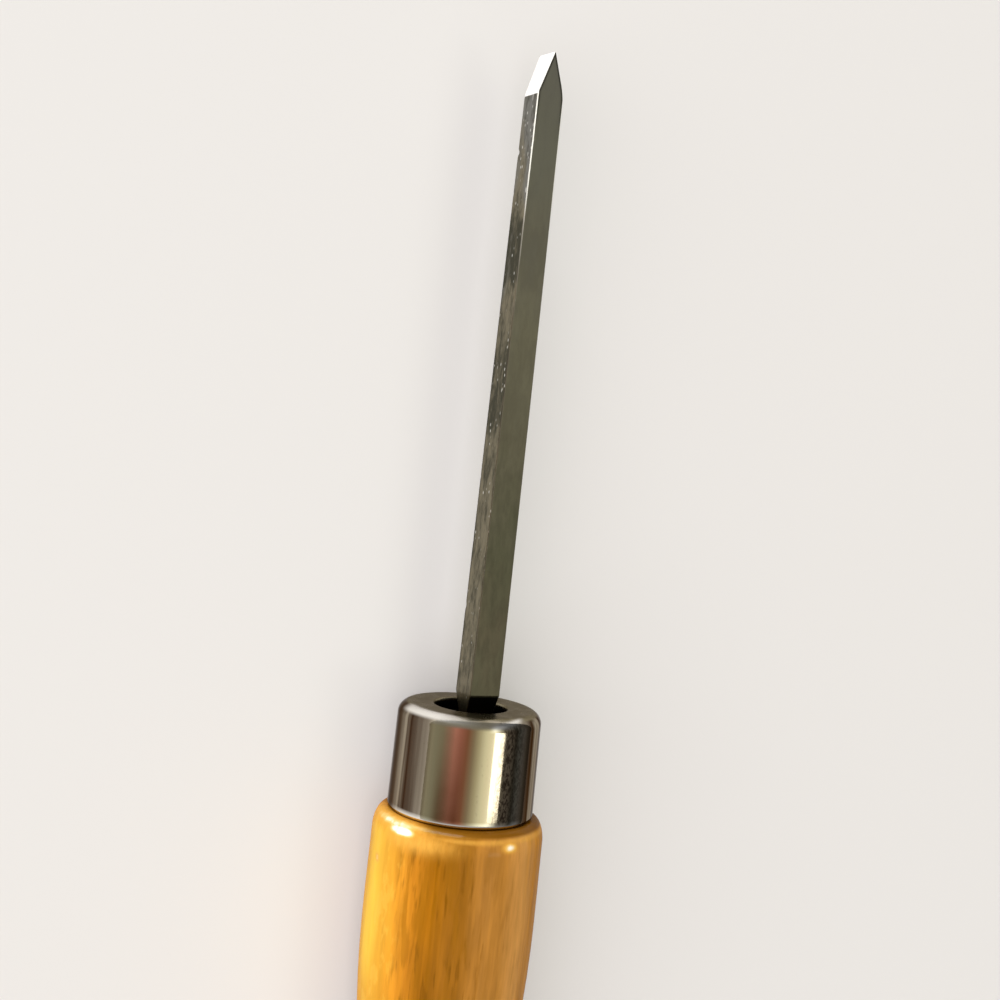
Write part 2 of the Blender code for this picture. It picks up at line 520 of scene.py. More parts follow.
@dataclass(frozen=True)
class SteelFinish:
    """Ground bar steel: satin faces, scuffed flanks, and a painted highlight on the arrises and bevels.

    The bar runs along X from start to end, in metres. Places on it are shares of that way: the
    stops of face and flank tone, and the pairs where grey, chips and glints begin and are full.
    """

    start: float
    end: float
    face: Colours = (
        (0.00, (0.134, 0.134, 0.092)), (0.12, (0.142, 0.127, 0.089)),
        (0.25, (0.121, 0.119, 0.081)), (0.38, (0.167, 0.157, 0.115)),
        (0.55, (0.195, 0.186, 0.138)), (0.70, (0.189, 0.182, 0.147)),
        (0.85, (0.190, 0.189, 0.159)), (1.00, (0.190, 0.187, 0.165)),
    )
    flank_tone: Shares = (
        (0.00, 0.95), (0.05, 0.70), (0.10, 0.60), (0.20, 0.66), (0.28, 0.62), (0.36, 0.58),
        (0.41, 0.44), (0.45, 0.26), (0.48, 0.14), (0.50, 0.32), (0.53, 0.34), (0.56, 0.46),
        (0.58, 0.66), (0.60, 0.68), (0.645, 0.62), (0.662, 0.18), (0.70, 0.10), (0.741, 0.10),
        (0.753, 0.62), (0.81, 0.80), (0.90, 0.78), (0.935, 0.64),
    )
    flank_dark: Colour = (0.040, 0.037, 0.016)
    flank_grey: Colour = (0.200, 0.198, 0.180)
    flank_brown: Colour = (0.207, 0.180, 0.114)
    # Near-white: bright pits and chips, and the painted highlight along the arrises near the tip.
    arris: Colour = (0.93, 0.93, 0.87)
    # Near-black: forge scale on the tang, which also paints the shade at its facet by the ferrule, and
    # painted shade along edges of the bar.
    scale: Colour = (0.006, 0.006, 0.005)
    # Near-white and, by bevel_metallic, mostly matt: the bevels' painted highlight.
    bevel: Colour = (0.98, 0.98, 0.97)
    face_roughness: float = 0.55
    flank_roughness: float = 0.34
    bevel_roughness: float = 0.22
    wear_roughness: float = 0.05
    bevel_metallic: float = 0.25
    face_drift: float = 0.06
    tone_drift: float = 0.18
    grey_from: Pair = (0.62, 0.86)
    patch_drift: Patches = Patches(7, 1.6, (0.25, 0.75), (-0.02, 0.02), detail=3)
    streak: Patches = Patches(6, 1.5, NOISE_SPAN, (-0.34, 0.34), detail=4, rough=0.65)
    scuff: Patches = Patches(1.5, 0.6, NOISE_SPAN, (-0.16, 0.16), detail=3, rough=0.6)
    pit: Specks = Specks(1.7, 0.8, seed=3.0, core=0.08, rim=0.24)
    pit_places: Patches = Patches(7, 2, (0.46, 0.58))
    pit_share: float = 0.75
    pit_relief: float = -0.8
    chip: Specks = Specks(3.0, 1.7, seed=8.0, core=0.10, rim=0.22)
    chip_from: Pair = (0.68, 0.86)
    chip_share: float = 0.8
    chip_mottle: Pair = (0.42, 0.54)
    glint_from: Pair = (0.68, 1.02)
    glint_drift: float = 0.2
    glint_least: float = 0.06
    relief_depth: float = 0.006

    def lightened(self, graph: FinishGraph) -> Socket:
        """How light a flank is: dark patches along it, streaked lengthwise.

        Args:
            graph: the material's graph.

        Returns:
            A share from 0, dark, to 1, bright.
        """
        place = graph.sum(graph.along(self.start, self.end), graph.patches(self.patch_drift))
        marks = graph.sum(graph.patches(self.streak), graph.patches(self.scuff))
        return graph.sum(graph.shares(place, self.flank_tone), marks)

    def material(self) -> bpy.types.Material:
        """Lay the finish by the marks of the flanks, the arrises, the stains and the bevels.

        Returns:
            The new material.
        """
        graph = FinishGraph("ground_steel")
        flank = graph.mark(Mark.FLANK)
        bevel = graph.mark(Mark.BEVEL)
        forwards = graph.along(self.start, self.end)
        mottle = graph.noise(along=14, across=5, detail=5)
        face_place, tone_place = (
            graph.sum(forwards, graph.fit(mottle, *NOISE_SPAN, -drift, drift))
            for drift in (self.face_drift, self.tone_drift)
        )
        lightened = self.lightened(graph)
        rubbed = graph.mix(graph.fit(tone_place, *self.grey_from), self.flank_brown, self.flank_grey)
        flat = graph.mix(graph.fit(lightened, 0.0, 1.0), self.flank_dark, rubbed)
        pitted = graph.times(graph.specks(self.pit), graph.patches(self.pit_places))
        flat = graph.mix(graph.times(pitted, self.pit_share), flat, self.arris)
        chipped = graph.fit(forwards, *self.chip_from, 0.0, self.chip_share)
        chipped = graph.times(graph.specks(self.chip), chipped)
        flat = graph.mix(graph.times(chipped, graph.fit(mottle, *self.chip_mottle)), flat, self.arris)
        base = graph.mix(flank, graph.ramp(face_place, self.face), flat)
        # Painted highlight: the arrises turn near-white and mostly matt, fading from the tip.
        glint = graph.sum(forwards, graph.times(mottle, self.glint_drift))
        glint = graph.fit(glint, *self.glint_from, self.glint_least, 1.0)
        glint = graph.times(graph.mark(Mark.ARRIS), glint)
        base = graph.mix(glint, base, self.arris)
        # Painted shade and forge scale, by the scale mark.
        base = graph.mix(graph.mark(Mark.SCALE_AND_SHADE), base, self.scale)
        # Painted highlight: the bevels near-white and mostly matt.
        base = graph.mix(bevel, base, self.bevel)
        rough = graph.fit(flank, 0.0, 1.0, self.face_roughness, self.flank_roughness)
        rough = graph.sum(rough, graph.fit(lightened, 0.0, 1.0, self.wear_roughness, -self.wear_roughness))
        rough = graph.add("Mix", {0: bevel, 2: rough, 3: self.bevel_roughness}).outputs[0]
        gleam = graph.fit(graph.sum(bevel, glint), 0.0, 1.0, 1.0, self.bevel_metallic)
        ground = graph.noise(along=8, across=0.12, detail=3)
        relief = graph.bump(graph.sum(ground, graph.times(pitted, self.pit_relief)), self.relief_depth)
        graph.surface(Base_Color=base, Metallic=gleam, Roughness=rough, Normal=relief)
        return graph.material


@dataclass(frozen=True)
class NickelFinish:
    """Warm nickel plating with pits and speckles, dull at its front, and lengthwise dark bands of painted
    reflection.

    The speckles and the painted reflection bands are placed by angles about the tool's axis, whose height
    is in metres.
    """

    axis_height: float
    bright: Colour = (0.47, 0.42, 0.33)
    # Painted highlight: near-white on the front edge and the rear lip.
    highlight_white: Colour = (0.97, 0.95, 0.90)
    # Dark: tarnish for the pits and speckles, and the painted reflection of the dark bands.
    tarnish_and_shade: Colour = (0.045, 0.020, 0.009)
    front: Colour = (0.32, 0.285, 0.195)
    front_dark: Colour = (0.23, 0.198, 0.125)
    front_spread: Pair = (0.35, 0.7)
    # Near-black: painted shade inside the cup.
    inside: Colour = (0.006, 0.006, 0.005)
    edge_tint: Colour = (0.45, 0.42, 0.40)
    wall_roughness: float = 0.075
    front_roughness: float = 0.28
    inside_roughness: float = 0.5
    cloud_roughness: Pair = (-0.015, 0.03)
    speckled: Shares = ((-28, 0.0), (-17, 0.5), (-8, 0.85), (-2, 0.6), (1, 0.0))
    # Painted reflection: how dark the wall is at each angle about the axis, in bands like the reflections
    # it shows.
    reflection_bands: Shares = (
        (-180, 0.60), (-160, 0.45), (-138, 0.80), (-120, 0.50), (-100, 0.70), (-84, 0.45),
        (-62, 0.55), (-54, 1.00), (-50, 0.95), (-47, 0.00), (-42, 0.00), (-39, 0.60),
        (-36, 1.00), (-31, 0.85), (-24, 0.40), (-14, 0.00), (55, 0.00), (60, 0.42),
        (65, 0.66), (70, 0.86), (75, 0.92), (79, 1.00), (82, 0.75), (85, 0.12),
        (87, 0.45), (92, 0.80), (100, 0.90), (114, 0.80), (132, 0.50), (150, 0.80),
        (168, 0.45), (180, 0.60),
    )
    drift: Patches = Patches(40, 1.6, NOISE_SPAN, (-0.006, 0.006), detail=3)
    pit: Specks = Specks(0.7, 0.7, seed=1.0, core=0.06, rim=0.14)
    pit_places: Patches = Patches(8, 4, (0.52, 0.64))
    pit_share: float = 0.7
    pit_relief: float = -0.4
    speckle: Patches = Patches(0.9, 0.5, (0.44, 0.56), detail=4, rough=0.7)
    relief_depth: float = 0.004

    def material(self) -> bpy.types.Material:
        """Lay the finish by the angle about the axis and the marks of the cup's parts.

        Returns:
            The new material.
        """
        graph = FinishGraph("nickel_plating")
        front = graph.mark(Mark.FRONT)
        inside = graph.mark(Mark.INSIDE_SHADE)
        turn = graph.sum(graph.about(self.axis_height), graph.patches(self.drift))
        pitted = graph.times(graph.specks(self.pit), graph.patches(self.pit_places))
        speckled = graph.times(graph.patches(self.speckle), graph.shares(turn, by_turn(self.speckled)))
        # Painted reflection: the dark bands by angle about the axis.
        base = graph.mix(graph.shares(turn, by_turn(self.reflection_bands)), self.bright, self.tarnish_and_shade)
        base = graph.mix(graph.times(pitted, self.pit_share), base, self.tarnish_and_shade)
        base = graph.mix(speckled, base, self.tarnish_and_shade)
        cloud = graph.noise(along=3, across=3, detail=4)
        dull = graph.mix(graph.fit(cloud, *self.front_spread), self.front, self.front_dark)
        base = graph.mix(front, base, dull)
        # Painted highlight: near-white where the highlight mark is.
        base = graph.mix(graph.mark(Mark.PAINTED_HIGHLIGHT), base, self.highlight_white)
        # Painted shade: near-black inside the cup.
        base = graph.mix(inside, base, self.inside)
        rough = graph.fit(front, 0.0, 1.0, self.wall_roughness, self.front_roughness)
        rough = graph.sum(rough, graph.fit(cloud, *NOISE_SPAN, *self.cloud_roughness))
        rough = graph.sum(rough, graph.times(inside, self.inside_roughness))
        drawn = graph.noise(along=5, across=2)
        relief = graph.sum(drawn, graph.times(pitted, self.pit_relief))
        graph.surface(
            Base_Color=base,
            Metallic=1.0,
            Roughness=rough,
            Specular_Tint=self.edge_tint,
            Normal=graph.bump(relief, self.relief_depth),
        )
        return graph.material


@dataclass(frozen=True)
class VarnishedWoodFinish:
    """Straight-grained wood under clear varnish, with flecks, pale blotches, painted highlights and painted
    light across its width.

    The colours across the width and flecked are placed across the handle's width, twice the radius in
    millimetres, from
    0 on the right to 1 on the left. The pairs of drift_fade, shade_fade and blotch_fade are places
    across it from -1 to 1.
    """

    # The wood's tone with painted light across the width: brighter on the left, darkest in the middle, and
    # tan on the right as a painted reflection.
    width_colours: Colours = (
        (0.00, (0.58, 0.235, 0.012)), (0.17, (0.60, 0.240, 0.008)),
        (0.28, (0.68, 0.333, 0.090)), (0.41, (0.472, 0.210, 0.038)),
        (0.53, (0.44, 0.195, 0.035)), (0.63, (0.272, 0.107, 0.008)),
        (0.73, (0.290, 0.113, 0.009)), (0.81, (0.277, 0.102, 0.003)),
        (0.885, (0.505, 0.190, 0.0125)), (0.945, (0.705, 0.302, 0.023)),
        (0.985, (0.725, 0.368, 0.035)), (0.996, (0.86, 0.530, 0.056)),
        (1.00, (0.83, 0.500, 0.057)),
    )
    flecked: Shares = ((0.3, 0.2), (0.5, 0.3), (0.6, 0.9), (0.9, 0.9), (0.97, 0.1))
    # Painted highlight colours, from pale wood to near-white.
    lightened: Colours = (
        (0.00, (0.76, 0.395, 0.066)), (0.45, (0.76, 0.395, 0.066)),
        (0.70, (0.84, 0.560, 0.190)), (1.00, (1.00, 0.93, 0.800)),
    )
    highlight_full: float = 0.6
    pale: Colour = (0.84, 0.50, 0.070)
    # Dark: the wood's pores in the flecks, and painted shade in the joint and beside it.
    pore_and_shade: Colour = (0.17, 0.064, 0.002)
    stain: Colour = (0.25, 0.098, 0.003)
    radius: float = 16.3
    drift: Patches = Patches(40, 3, (0.25, 0.75), (-0.8, 0.8), detail=3)
    drift_fade: Pair = (0.75, 0.97)
    band: Patches = Patches(14, 2.4, (0.32, 0.68), (0.88, 1.12), detail=3)
    fibre_span: Pair = (0.28, 0.72)
    fibre_tone: Pair = (0.92, 1.08)
    shade_fade: Pair = (0.8, 1.0)
    shade_shares: Pair = (0.9, 0.3)
    cloud: Patches = Patches(12, 1.8, (0.50, 0.62), detail=4)
    cloud_share: float = 0.5
    fleck: Patches = Patches(6, 0.75, (0.51, 0.70))
    fleck_places: Patches = Patches(13, 3.2, (0.44, 0.58))
    fleck_share: float = 0.75
    fleck_relief: float = -0.7
    blotch: Patches = Patches(5, 2.2, (0.50, 0.62), detail=4, rough=0.6)
    blotch_fade: Pair = (0.80, 0.97)
    blotch_share: float = 0.4
    ragged: Patches = Patches(2.4, 1.2, NOISE_SPAN, (0.86, 1.12), detail=3)
    roughness: float = 0.45
    coat_weight: float = 0.24
    coat_roughness: float = 0.07
    coat_ior: float = 1.4
    relief_depth: float = 0.02
    relief_strength: float = 0.5

    def material(self) -> bpy.types.Material:
        """Lay the grain along X, then the worn places and the grime by their marks.

        Returns:
            The new material.
        """
        graph = FinishGraph("varnished_wood")
        across = graph.add("SeparateXYZ", {0: graph.span(self.radius, self.radius)}).outputs["Y"]
        drift = graph.fit(across, *self.drift_fade, 1 / self.radius, 0.0)
        drift = graph.times(graph.patches(self.drift), drift)
        place = graph.way(graph.sum(across, drift), -1.0, 1.0)
        # Painted light across the width, with the wood's tone.
        base = graph.ramp(place, self.width_colours)
        flecked = graph.shares(place, self.flecked)
        fibre = graph.noise(along=14, across=0.6, detail=4, rough=0.6)
        shade = graph.times(graph.patches(self.band), graph.fit(fibre, *self.fibre_span, *self.fibre_tone))
        tone = graph.add("CombineXYZ", {0: shade, 1: shade, 2: shade}).outputs[0]
        shaded = graph.fit(across, *self.shade_fade, *self.shade_shares)
        base = graph.mix(shaded, base, tone, blend="MULTIPLY")
        cloud = graph.times(graph.patches(self.cloud), flecked)
        base = graph.mix(graph.times(cloud, self.cloud_share), base, self.stain)
        strewn = graph.times(graph.patches(self.fleck), graph.patches(self.fleck_places))
        base = graph.mix(graph.times(graph.times(strewn, flecked), self.fleck_share), base, self.pore_and_shade)
        blotch = graph.fit(across, *self.blotch_fade, 0.0, self.blotch_share)
        base = graph.mix(graph.times(graph.patches(self.blotch), blotch), base, self.pale)
        # Painted highlights: pale wood to near-white where the highlight mark is.
        rubbed = graph.times(graph.mark(Mark.PAINTED_HIGHLIGHT), graph.patches(self.ragged))
        base = graph.mix(graph.fit(rubbed, 0.0, self.highlight_full), base, graph.ramp(rubbed, self.lightened))
        # Painted shade: dark in the joint and on the shoulder beside it.
        base = graph.mix(graph.mark(Mark.INSIDE_SHADE), base, self.pore_and_shade)
        relief = graph.sum(fibre, graph.times(strewn, self.fleck_relief))
        graph.surface(
            Base_Color=base,
            Roughness=self.roughness,
            Specular_IOR_Level=0.0,
            Normal=graph.bump(relief, self.relief_depth, self.relief_strength),
            Coat_Weight=self.coat_weight,
            Coat_Roughness=self.coat_roughness,
            Coat_IOR=self.coat_ior,
        )
        return graph.material


@dataclass(frozen=True)
class TableFinish:
    """Matt pale table that takes the tool's shadow lightly.

    Attributes:
        colour: its matt colour.
        glow: what it adds to that where the camera or a reflection sees it.
    """

    colour: Colour = (0.57, 0.57, 0.57)
    glow: Colour = (0.203, 0.191, 0.186)

    def material(self) -> bpy.types.Material:
        """One plain matt colour, and the glow for camera, glossy and transmission rays.

        Returns:
            The new material.
        """
        graph = FinishGraph("pale_table")
        rays = graph.add("LightPath", {}).outputs
        seen = graph.sum(rays["Is Camera Ray"], rays["Is Glossy Ray"])
        seen = graph.add("Clamp", {0: graph.sum(seen, rays["Is Transmission Ray"])}).outputs[0]
        graph.surface(
            Base_Color=self.colour,
            Roughness=1.0,
            Specular_IOR_Level=0.0,
            Emission_Color=self.glow,
            Emission_Strength=seen,
        )
        return graph.material


def dress(piece: bpy.types.Object, finish: bpy.types.Material, solid: Solid) -> None:
    """Give a piece its finish and let it stand for its solid.

    Args:
        piece: the new piece.
        finish: its material.
        solid: the solid of the frame that it stands for.
    """
    piece.data.materials.append(finish)
    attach(piece, BODY)
    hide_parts(solid.value)


@dataclass
class Blade:
    """Square bar that narrows to two bevels, with its tang. Sizes are in millimetres.

    Attributes:
        axis: the tool's axis.
        side_at_ferrule: side of the square section at the ferrule's front.
        side_at_bevel: side where the bevels begin.
        bevel_length: length of the bevels along the axis.
        heel_round: length over which the right bevel's heel is rounded off.
        chamfer: width taken off each side of an arris.
        edge_skew: how far the lower end of the cutting edge stands towards +Y.
        off_axis: Y and Z of the bar's centre at the ferrule's front.
        lean: how far that centre moves for each millimetre forwards.
        tang_start: station where the upper and lower faces are drawn down.
        tang_neck: station, width and thickness where the tang is drawn down.
        tang_end_size: width and thickness of the tang's end.
        nicks: number of small nicks along the left arrises.
        nick_margins: room without nicks ahead of the tang's start and behind the bevels.
        nick_lengths, nick_depths: least and greatest half length and depth of a nick.
        deepest_nick: station, half length and depth of the nick on the lower left arris.
        painted_shade_along: stations where painted shade on the left flank's lower edge starts, and is
            full.
        painted_shade_down: where it starts and is full, from 0 at the flank's middle to -1 at its edge.
        edge_shade_length: how far behind the bevels the edges of the upper and lower faces carry painted
            shade.
        edge_shade_width: distance from the arris where that painted shade ends, and is full.
            painted_shade_share, edge_shade_share: depth of these two painted shades.
    """

    axis: ToolAxis
    side_at_ferrule: float = 6.2
    side_at_bevel: float = 5.35
    bevel_length: float = 7.96
    heel_round: float = 2.4
    chamfer: float = 0.15
    edge_skew: float = 0.4
    off_axis: Pair = (-0.98, 0.29)
    lean: Pair = (-0.0036, 0.0018)
    tang_start: float = 2.5
    tang_neck: Triple = (-1.8, 5.6, 3.0)
    tang_end_size: Pair = (3.2, 2.4)
    nicks: int = 10
    nick_margins: Pair = (4.0, 3.0)
    nick_lengths: Pair = (0.2, 0.6)
    nick_depths: Pair = (0.02, 0.08)
    deepest_nick: Triple = (103.0, 0.4, 0.25)
    painted_shade_along: Pair = (98.0, 80.0)
    painted_shade_down: Pair = (-0.80, -0.95)
    painted_shade_share: float = 0.5
    edge_shade_length: float = 8.0
    edge_shade_width: Pair = (0.5, 0.15)
    edge_shade_share: float = 0.75

    points_per_side = 17
    ring_step = 0.25
    just_ahead = 0.03
    just_behind = 0.1
    nick_power = 24
    nick_seed = 12

    def __post_init__(self) -> None:
        """Read the blade's two ends from the frame, and lay out its rings and its section."""
        low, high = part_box(Solid.BLADE.value)
        self.tip = self.axis.station(high.x)
        self.tang_end = self.axis.station(low.x)
        self.heel = self.tip - self.bevel_length
        self.rings = self.stations()
        self.in_y, self.in_z, self.flank = self.section()

    def stations(self) -> Array:
        """Stations of the rings, close together where the section changes.

        Returns:
            Array of stations from the tang's end to the cutting edge.
        """
        return np.concatenate([
            [self.tang_end],
            np.linspace(self.tang_end, self.tang_neck[0], 14, endpoint=False),
            np.linspace(self.tang_neck[0], self.tang_start, 10, endpoint=False),
            np.arange(self.tang_start, self.heel, self.ring_step),
            [self.heel],
            np.linspace(self.heel + self.just_ahead, self.tip, 44),
        ])

    def half_sizes(self, station: Array) -> tuple[Array, Array]:
        """Half width and half height of the bar, straight between its named stations.

        Args:
            station: stations of the rings.

        Returns:
            Arrays of half the size in Y and half the size in Z.
        """
        taper = (self.side_at_bevel - self.side_at_ferrule) / self.heel
        ends = np.array([self.tang_start, self.tip])
        bar = self.side_at_ferrule + taper * ends
        places = [self.tang_end, self.tang_neck[0], *ends]
        width = np.interp(station, places, [self.tang_end_size[0], self.tang_neck[1], *bar])
        height = np.interp(station, places, [self.tang_end_size[1], self.tang_neck[2], *bar])
        return width / 2, height / 2

    def bevel_limits(self) -> tuple[Array, Array]:
        """How far the rings may reach to the left and the right of their centres.

        Each bevel is a plane from half the side at its heel to nothing at the cutting edge. The
        right one turns into its flat on a soft corner: the smooth lesser of the two widths.

        Returns:
            Arrays of the reach towards +Y and the reach towards -Y.
        """
        plane = self.side_at_bevel / 2 * (self.tip - self.rings) / self.bevel_length
        half = self.half_sizes(self.rings)[0]
        blend = self.heel_round * self.side_at_bevel / 2 / self.bevel_length
        near = np.clip(0.5 + (plane - half) / (2 * blend), 0.0, 1.0)
        soft = plane + (half - plane) * near - blend * near * (1 - near)
        return np.minimum(plane, half), np.minimum(soft, plane)

    def section(self) -> tuple[Array, ...]:
        """One turn round the chamfered square, by its four flats.

        Returns:
            Arrays of the direction in Y and in Z from -1 to 1, and of 1 on the left and right flats.
        """
        across = np.sin(np.linspace(-np.pi / 2, np.pi / 2, self.points_per_side))
        full = np.ones(self.points_per_side)
        in_y = np.concatenate([full, -across, -full, across])
        in_z = np.concatenate([across, full, -across, -full])
        flank = np.concatenate([full, 0 * full, full, 0 * full])
        return in_y, in_z, flank

    def centre(self, x: Array) -> tuple[Array, Array]:
        """Y and Z of the bar's centre at these stations."""
        return self.off_axis[0] + self.lean[0] * x, self.off_axis[1] + self.lean[1] * x

    def nick_depth(self) -> Array:
        """How much the left arrises are nicked: a sum of small bells along X, the first the deepest.

        A nick's depth falls off as a bell along X and with a high power of the nearness to its corner.

        Returns:
            Array (rings, points round) of depths in millimetres.
        """
        chance = np.random.default_rng(self.nick_seed)
        first, last = self.tang_start + self.nick_margins[0], self.heel - self.nick_margins[1]
        places = chance.uniform(first, last, self.nicks)
        lengths = chance.uniform(*self.nick_lengths, self.nicks)
        depths = chance.uniform(*self.nick_depths, self.nicks)
        corners = chance.choice([-1.0, 1.0], self.nicks)
        places[0], lengths[0], depths[0] = self.deepest_nick
        corners[0] = -1.0
        bells = depths * np.exp(-(((self.rings[:, None] - places) / lengths) ** 2))
        near = np.clip((self.in_y + corners[:, None] * self.in_z) / 2, 0.0, 1.0) ** self.nick_power
        return bells @ near

    def marks(self, reach_y: Array) -> dict[Mark, Array]:
        """Marks of the blade's parts. The painted shades are products of smooth steps along X and across a
        flat.

        Args:
            reach_y: half width of the section at every point.

        Returns:
            Arrays (rings, points round) by mark.
        """
        station, flank = self.rings[:, None], self.flank
        corner = (np.abs(self.in_y) == 1) & (np.abs(self.in_z) == 1)
        # Forge scale on the tang's upper and lower faces, near-black, which also paints the shade at its
        # facet by the ferrule.
        forged = (station < self.tang_start - self.just_behind) * (1 - flank)
        # Painted shade: a dark line along the left flank's lower edge, and dark bands along the faces'
        # edges behind the bevels.
        painted_shade = smooth(station, *self.painted_shade_along) * flank * (self.in_y > 0)
        painted_shade = painted_shade * smooth(self.in_z, *self.painted_shade_down)
        edge_shade = smooth(station, self.heel - self.edge_shade_length, self.heel) * (1 - flank)
        edge_shade = edge_shade * smooth((1 - np.abs(self.in_y)) * reach_y, *self.edge_shade_width) * (1 - corner)
        return {
            Mark.FLANK: np.ones(station.shape) * flank,
            Mark.BEVEL: (station > self.heel) * flank,
            Mark.ARRIS: np.ones(station.shape) * corner,
            Mark.SCALE_AND_SHADE: np.maximum(forged, self.painted_shade_share * painted_shade + self.edge_shade_share * edge_shade),
        }

    def build(self) -> bpy.types.Object:
        """Carry the chamfered square along X: centre(x) + direction * half size, cut by the bevels.

        Returns:
            The blade, closed at the cutting edge and at the tang's end.
        """
        in_y, in_z, flank = self.in_y, self.in_z, self.flank
        half_y, half_z = (half[:, None] for half in self.half_sizes(self.rings))
        left, right = (reach[:, None] for reach in self.bevel_limits())
        reach_y = np.minimum(half_y - self.chamfer * (1 - flank), np.where(in_y > 0, left, right))
        nick = self.nick_depth()
        y = in_y * reach_y - np.sign(in_y) * nick
        z = in_z * (half_z - self.chamfer * flank) - np.sign(in_z) * nick
        drawn = np.clip((self.rings - self.heel) / self.bevel_length, 0.0, 1.0)[:, None]
        y = y + self.edge_skew * drawn * (1 - z / half_z) / 2
        y[0] = 0.0
        z[0] = 0.0
        x = np.repeat(self.rings[:, None], len(in_y), axis=1)
        centre_y, centre_z = self.centre(x)
        points = self.axis.place(np.stack([x, y + centre_y, z + centre_z], axis=-1))
        return RingStack("chisel_blade", points, Ends.DRAWN, self.marks(reach_y), sharp=9.0).piece()

    def dress(self, piece: bpy.types.Object) -> None:
        """Finish the blade in ground steel."""
        finish = SteelFinish(start=self.axis.face_x, end=self.axis.face_x + self.tip * MM)
        dress(piece, finish.material(), Solid.BLADE)


@dataclass
class Ferrule:
    """Drawn cup with a round hole in its front. Sizes are in millimetres.

    Its painted highlights and painted dark reflections on the rounded front edge are placed by turns over
    that edge, in degrees from 0 at the face to
    90 at the wall, and by angles about the axis.

    Attributes:
        axis: the tool's axis.
        front_radius: outer radius at the front.
        rear_radius: outer radius at the rear lip.
        wall: thickness of the metal.
        front_round: radius of the rounded front edge.
        rear_round: radius of the rounded rear lip.
        hole_radius: radius of the hole in the front.
        hole_round: radius of the hole's rounded rim.
        dull_turn: turn that the dull front reaches on the left, and how much further on the right, where
            the further reach is a painted dark reflection.
        dark_reflection_right: angles where that further reach starts, and is full.
        dull_fade: half the turn over which the dull front fades.
        dark_reflection_share: dullness of the painted dark reflection on the upper left.
            dark_reflection_turn, dark_reflection_around: turns where that place ends and is full, and its
            angles.
        highlight_patch_turn, highlight_patch_around: turns and angles of the painted highlight on the left.
        highlight_streak_turn: turn of the painted highlight streak at the top, its climb for each degree,
            and its width.
        highlight_streak_around: angles of that streak.
        lip_highlight_share, lip_highlight_around: share by which the rear lip is painted bright as a
        highlight, and its angles.
    """

    axis: ToolAxis
    front_radius: float = 13.5
    rear_radius: float = 13.72
    wall: float = 1.1
    front_round: float = 2.3
    rear_round: float = 0.85
    hole_radius: float = 6.87
    hole_round: float = 0.4
    dull_turn: Pair = (22.0, 16.0)
    dark_reflection_right: Pair = (10.0, -15.0)
    dull_fade: float = 8.0
    dark_reflection_share: float = 0.6
    dark_reflection_turn: Pair = (84.0, 68.0)
    dark_reflection_around: Hump = (4.0, 14.0, 46.0, 62.0)
    highlight_patch_turn: Hump = (-8.0, 17.0, 44.0, 66.0)
    highlight_patch_around: Hump = (12.0, 58.0, 86.0, 102.0)
    highlight_streak_turn: Triple = (58.0, 1.5, 14.0)
    highlight_streak_around: Hump = (-30.0, -16.0, 4.0, 11.0)
    lip_highlight_share: float = 0.8
    lip_highlight_around: Hump = (-30.0, -18.0, 75.0, 100.0)

    around = 224

    def __post_init__(self) -> None:
        """Read the ferrule's rear end from the frame."""
        self.rear = self.axis.station(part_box(Solid.FERRULE.value)[0].x)

    def stretches(self) -> dict[str, Array]:
        """The cup's closed profile, from the hole's rim over the outside and back inside.

        Returns:
            Stretches of the profile by name, in order.
        """
        inner_front = self.front_radius - self.wall
        inner_rear = self.rear_radius - self.wall
        inner_round = self.front_round - self.wall
        front_corner = (-self.front_round, self.front_radius - self.front_round)
        rear_corner = (self.rear + self.rear_round, self.rear_radius - self.rear_round)
        hole_corner = (-self.hole_round, self.hole_radius + self.hole_round)
        return {
            "rim": arc(hole_corner, (self.hole_round,) * 2, (-90, 0), 8),
            "face": line((0.0, hole_corner[1]), (0.0, front_corner[1]), 8),
            "edge": arc(front_corner, (self.front_round,) * 2, (0, 90), 24),
            "wall": line((front_corner[0], self.front_radius), (rear_corner[0], self.rear_radius), 24),
            "lip": arc(rear_corner, (self.rear_round,) * 2, (90, 180), 10),
            "back": line((self.rear, rear_corner[1]), (self.rear, inner_rear), 3),
            "bore": line((self.rear, inner_rear), (-self.front_round, inner_front), 10),
            "bend": arc((-self.front_round, inner_front - inner_round), (inner_round,) * 2, (90, 0), 8),
            "under": line((-self.wall, inner_front - inner_round), (-self.wall, self.hole_radius), 5),
            "throat": line((-self.wall, self.hole_radius), (-self.hole_round, self.hole_radius), 3),
        }

    def build(self) -> bpy.types.Object:
        """Turn the profile round the axis.

        Returns:
            The ferrule.
        """
        stretches = self.stretches()
        profile = np.concatenate(list(stretches.values()))
        names = np.repeat(list(stretches), [len(points) for points in stretches.values()])
        inside = np.isin(names, ["back", "bore", "bend", "under", "throat"])[:, None]
        face = np.isin(names, ["rim", "face"])[:, None]
        edge = (names == "edge")[:, None]
        lip = (names == "lip")[:, None]
        points = turned(profile, self.around)
        turn = np.degrees(np.arccos(np.clip(points[..., 0] / self.front_round + 1, 0.0, 1.0)))
        around = roll_angle(points)
        dull, rubbed = self.edge_dull_and_highlight(turn, around)
        # Painted highlight on the rear lip.
        lip_highlight = self.lip_highlight_share * hump(around, *self.lip_highlight_around)
        marks = {
            # Painted shade: the cup's inside is near-black.
            Mark.INSIDE_SHADE: inside * np.ones(turn.shape),
            # The dull front, with a painted dark reflection on the right and the upper left.
            Mark.FRONT: face + edge * dull,
            # Painted highlights on the front edge and the rear lip.
            Mark.PAINTED_HIGHLIGHT: edge * rubbed + lip * lip_highlight,
        }
        return RingStack("chisel_ferrule", self.axis.place(points), Ends.LOOP, marks).piece()

